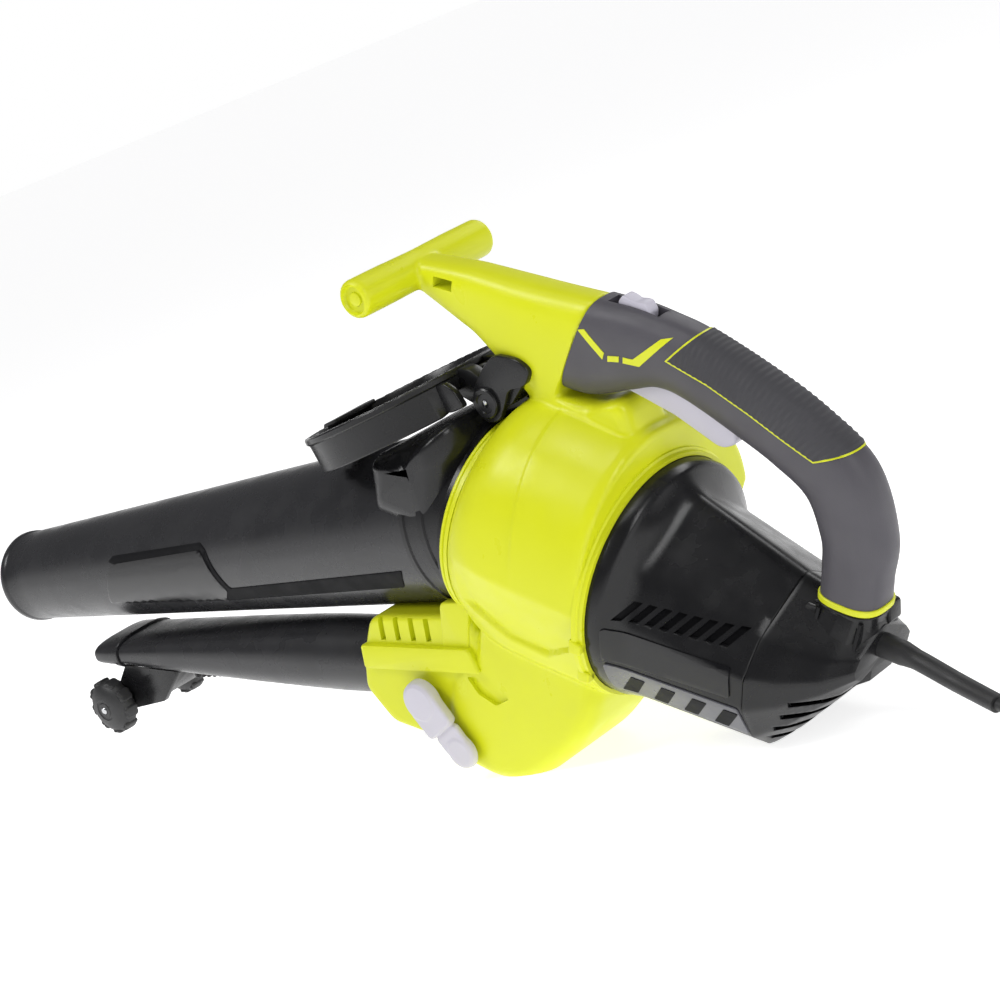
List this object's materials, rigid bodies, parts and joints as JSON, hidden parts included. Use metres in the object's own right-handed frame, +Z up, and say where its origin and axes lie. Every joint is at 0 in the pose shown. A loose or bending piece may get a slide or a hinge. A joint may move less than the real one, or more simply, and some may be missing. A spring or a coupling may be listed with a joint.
{
  "type": "leaf blower",
  "caption": "Electric garden blower and vacuum with a volute fan housing, a large tapered vacuum tube, a flat-tipped blow tube, an arched rear handle and a T-shaped front handle.",
  "frame": {"origin": "centre of the bounding box without the free cord, at the floor that the scroll foot and the motor foot stand on", "axes": "+X to the motor end, along the longest extent, +Y to the tool's right, +Z up"},
  "size_m": [1.0998, 0.2034, 0.3842],
  "materials": {
    "green": "moulded yellow-green plastic, satin gloss",
    "gloss": "glossy black moulded plastic",
    "tube": "dark charcoal moulded plastic, gloss",
    "grip": "dark grey soft-touch plastic",
    "insert": "fine-ribbed dark grey overmoulded rubber",
    "pale": "light lilac-grey moulded plastic",
    "rubber": "black rubber",
    "steel": "bright steel",
    "copper": "copper and brass motor parts",
    "board": "mid-grey moulded plastic"
  },
  "bodies": {
    "housing": {"housing_left": "green", "housing_right": "green", "housing_screw_1": "steel", "housing_screw_2": "steel", "housing_screw_3": "steel", "housing_screw_4": "steel", "inlet_ring": "green", "tube_collar": "gloss", "vacuum_tube": "tube", "tube_lock_knob": "gloss", "door_pin": "steel", "hinge_bracket": "gloss", "blow_tube": "tube", "blow_nozzle_tip": "tube", "wheel_bracket": "gloss", "wheel_axle": "steel", "motor_cover": "gloss", "name_plate_left": "gloss", "vent_frame_left": "pale", "name_plate_right": "gloss", "vent_frame_right": "pale", "rear_cover": "gloss", "motor_mount_plate": "steel", "front_bearing": "steel", "rear_bearing": "steel", "motor_field": "steel", "brush_left": "board", "brush_holder_left": "copper", "brush_right": "board", "brush_holder_right": "copper", "handle_left": "grip", "handle_right": "grip", "handle_screw_1": "steel", "handle_screw_2": "steel", "grip_insert": "insert", "handle_foot_ring": "green", "trigger_pin": "steel", "switch_module": "board", "capacitor": "board", "cord_guard": "rubber", "cord": "rubber", "plug": "rubber"},
    "inlet_door": {"inlet_door": "gloss", "door_latch": "gloss"},
    "rotor": {"rotor_shaft": "steel", "armature": "copper", "commutator": "copper", "impeller": "board", "impeller_nut": "steel"},
    "trigger": {"trigger": "pale"},
    "speed_slider": {"speed_slider": "pale"},
    "selector": {"selector_lever": "pale", "selector_shaft": "steel", "selector_flap": "board"},
    "wheel_left": {"wheel_left": "rubber"},
    "wheel_right": {"wheel_right": "rubber"}
  },
  "joints": [
    {"name": "door_swing", "type": "hinge", "parent": "housing", "child": "inlet_door", "pos_m": [0.15834, -0.0099, 0.27047], "axis": [0, 1, 0], "range_deg": [0, 45]},
    {"name": "rotor_spin", "type": "hinge", "parent": "housing", "child": "rotor", "pos_m": [0.17574, -0.0099, 0.15173], "axis": [0.8785, 0, -0.4777], "continuous": true},
    {"name": "trigger_squeeze", "type": "hinge", "parent": "housing", "child": "trigger", "pos_m": [0.27535, -0.0099, 0.26375], "axis": [0, -1, 0], "range_deg": [0, 5], "stiffness_Nm_per_rad": 1.5, "springref_deg": -8.59},
    {"name": "slider_travel", "type": "slide", "parent": "housing", "child": "speed_slider", "axis": [0.8785, 0, -0.4777], "range_m": [-0.007, 0.007]},
    {"name": "selector_turn", "type": "hinge", "parent": "housing", "child": "selector", "pos_m": [0.02125, -0.0099, 0.07069], "axis": [0, 1, 0], "range_deg": [0, 80]},
    {"name": "wheel_left_spin", "type": "hinge", "parent": "housing", "child": "wheel_left", "pos_m": [-0.37128, -0.0289, 0.09404], "axis": [0, 1, 0], "continuous": true},
    {"name": "wheel_right_spin", "type": "hinge", "parent": "housing", "child": "wheel_right", "pos_m": [-0.37128, -0.0289, 0.09404], "axis": [0, 1, 0], "continuous": true}
  ]
}
